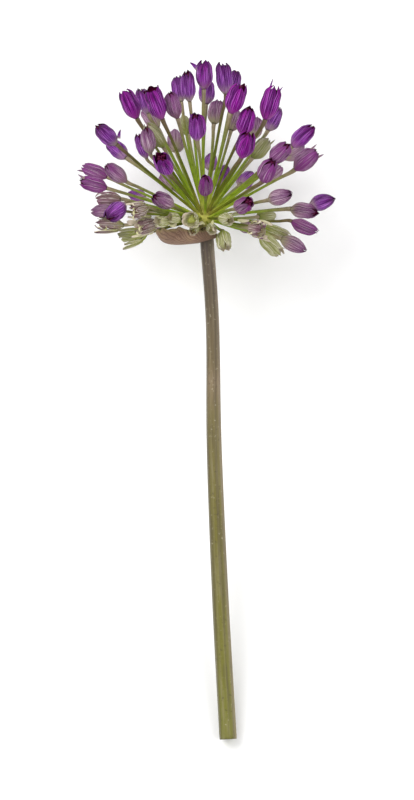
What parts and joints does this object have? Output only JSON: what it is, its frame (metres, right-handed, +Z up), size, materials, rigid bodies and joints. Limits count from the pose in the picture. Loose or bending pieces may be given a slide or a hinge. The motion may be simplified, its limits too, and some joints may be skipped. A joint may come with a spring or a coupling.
{
  "type": "allium flower head",
  "caption": "Cut ornamental-onion flower lying down: a round head of purple and green buds on thin pedicels, a papery spathe and a long bare scape.",
  "frame": {"origin": "on the surface the flower lies on, under the middle of its bounding box", "axes": "+Z up from the surface, +Y along the scape towards the flower head, +X across the head"},
  "size_m": [0.0904, 0.2342, 0.0718],
  "materials": {
    "scape": "satin",
    "spathe": "dry, matte",
    "floret_purple": "waxy satin",
    "floret_mauve": "waxy satin",
    "floret_green": "waxy satin"
  },
  "bodies": {
    "root": {"scape": "scape", "spathe": "spathe", "floret_01": "floret_purple", "floret_02": "floret_purple", "floret_03": "floret_purple", "floret_04": "floret_purple", "floret_05": "floret_mauve", "floret_06": "floret_purple", "floret_07": "floret_purple", "floret_08": "floret_purple", "floret_09": "floret_purple", "floret_10": "floret_purple", "floret_11": "floret_purple", "floret_12": "floret_mauve", "floret_13": "floret_purple", "floret_14": "floret_purple", "floret_15": "floret_green", "floret_16": "floret_mauve", "floret_17": "floret_purple", "floret_18": "floret_purple", "floret_19": "floret_purple", "floret_20": "floret_purple", "floret_21": "floret_purple", "floret_22": "floret_mauve", "floret_23": "floret_purple", "floret_24": "floret_purple", "floret_25": "floret_green", "floret_26": "floret_purple", "floret_27": "floret_mauve", "floret_28": "floret_purple", "floret_29": "floret_purple", "floret_30": "floret_purple", "floret_31": "floret_mauve", "floret_32": "floret_purple", "floret_33": "floret_mauve", "floret_34": "floret_purple", "floret_35": "floret_mauve", "floret_36": "floret_green", "floret_37": "floret_green", "floret_38": "floret_mauve", "floret_39": "floret_green", "floret_40": "floret_mauve", "floret_41": "floret_purple", "floret_42": "floret_green", "floret_43": "floret_mauve", "floret_44": "floret_green", "floret_45": "floret_green", "floret_46": "floret_purple", "floret_47": "floret_purple", "floret_48": "floret_mauve", "floret_49": "floret_purple", "floret_50": "floret_purple", "floret_51": "floret_mauve", "floret_52": "floret_purple", "floret_53": "floret_purple", "floret_54": "floret_mauve", "floret_55": "floret_mauve", "floret_56": "floret_purple", "floret_57": "floret_mauve", "floret_58": "floret_green"}
  },
  "joints": []
}
